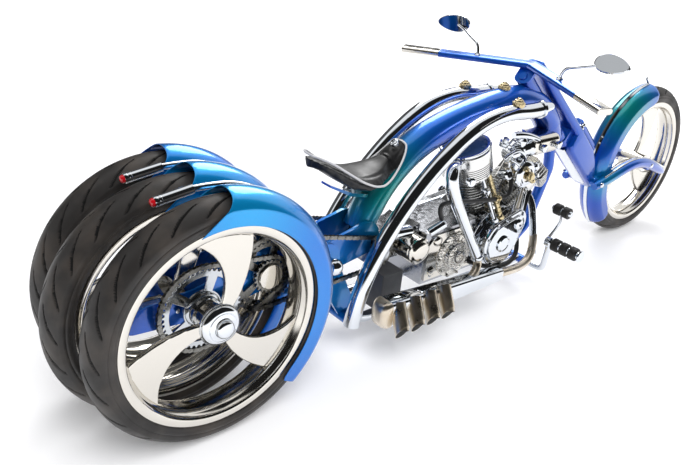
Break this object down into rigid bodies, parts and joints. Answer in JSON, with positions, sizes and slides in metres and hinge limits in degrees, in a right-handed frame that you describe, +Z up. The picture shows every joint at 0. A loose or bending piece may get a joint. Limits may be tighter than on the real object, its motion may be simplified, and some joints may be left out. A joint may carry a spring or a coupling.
{
  "type": "motorized trike",
  "caption": "Raked custom V-twin cycle with three close-set blade-spoke rear wheels under blue fenders, an arched backbone frame, solo seat and swept handlebar",
  "frame": {"origin": "on the floor under the middle of the overall length", "axes": "+X towards the front wheel, +Y to the rider's left, +Z up"},
  "size_m": [3.0707, 0.9028, 0.9824],
  "materials": {
    "tyre": "moulded rubber with a satin sidewall",
    "polished": "machined billet, mirror polished",
    "chrome": "bright chrome plate over polished steel",
    "paint": "deep blue pearl paint under thick clear coat",
    "steel": "turned and blued steel",
    "bronze": "heat tinted stainless tube",
    "brass": "cast and antiqued brass",
    "leather": "black smooth hide with pale piping",
    "lens": "clear red moulded acrylic",
    "black": "moulded black case"
  },
  "bodies": {
    "chassis": {"battery": "black", "cam_cover": "chrome", "crankcase": "chrome", "dampers": "chrome", "exhaust_box": "chrome", "filler_caps": "brass", "foot_control_left": "chrome", "foot_control_right": "chrome", "frame_backbone": "paint", "frame_downtube": "paint", "frame_rails": "paint", "frame_rear": "paint", "front_cylinder": "chrome", "front_head": "chrome", "front_header": "bronze", "gearbox": "chrome", "input_chains": "steel", "intake": "chrome", "jackshafts": "chrome", "middle_axle": "chrome", "output_sprockets": "steel", "primary_cover": "chrome", "rear_cylinder": "chrome", "rear_fender_left": "paint", "rear_fender_middle": "paint", "rear_fender_right": "paint", "rear_head": "chrome", "rear_head_lid": "paint", "rear_header": "bronze", "seat": "leather", "seat_bracket": "paint", "side_tube_left": "chrome", "side_tube_right": "chrome", "starter_drum": "chrome", "swingarm_leg_left": "paint", "swingarm_leg_right": "paint", "swingarm_pivot": "chrome", "tail_lamps": "chrome", "tail_lenses": "lens", "tail_pipes": "chrome", "wheel_chains": "steel"},
    "steering": {"fork_body": "paint", "shock": "paint", "handlebar": "paint", "grips": "chrome", "mirrors": "chrome", "front_links": "paint", "front_fender": "paint", "fender_trim": "chrome"},
    "rear_wheel_right": {"rear_tyre_right": "tyre", "rear_rim_right": "polished", "rear_sprocket_right": "steel"},
    "rear_wheel_left": {"rear_tyre_left": "tyre", "rear_rim_left": "polished", "rear_sprocket_left": "steel"},
    "rear_wheel_middle": {"rear_tyre_middle": "tyre", "rear_rim_middle": "polished"},
    "front_wheel": {"front_tyre": "tyre", "front_rim": "polished"}
  },
  "joints": [
    {"name": "steer", "type": "hinge", "parent": "chassis", "child": "steering", "pos_m": [0.36035, 0, 0.68785], "axis": [-0.7593, 0, 0.6508], "range_deg": [-28, 28]},
    {"name": "front_wheel_spin", "type": "hinge", "parent": "steering", "child": "front_wheel", "pos_m": [1.1885, 0, 0.347], "axis": [0, 1, 0], "continuous": true},
    {"name": "rear_wheel_right_spin", "type": "hinge", "parent": "chassis", "child": "rear_wheel_right", "pos_m": [-1.1515, -0.162, 0.35], "axis": [0, 1, 0], "continuous": true},
    {"name": "rear_wheel_left_spin", "type": "hinge", "parent": "chassis", "child": "rear_wheel_left", "pos_m": [-1.1515, 0.162, 0.35], "axis": [0, 1, 0], "continuous": true},
    {"name": "rear_wheel_middle_spin", "type": "hinge", "parent": "chassis", "child": "rear_wheel_middle", "pos_m": [-1.1855, 0, 0.35], "axis": [0, 1, 0], "continuous": true}
  ]
}
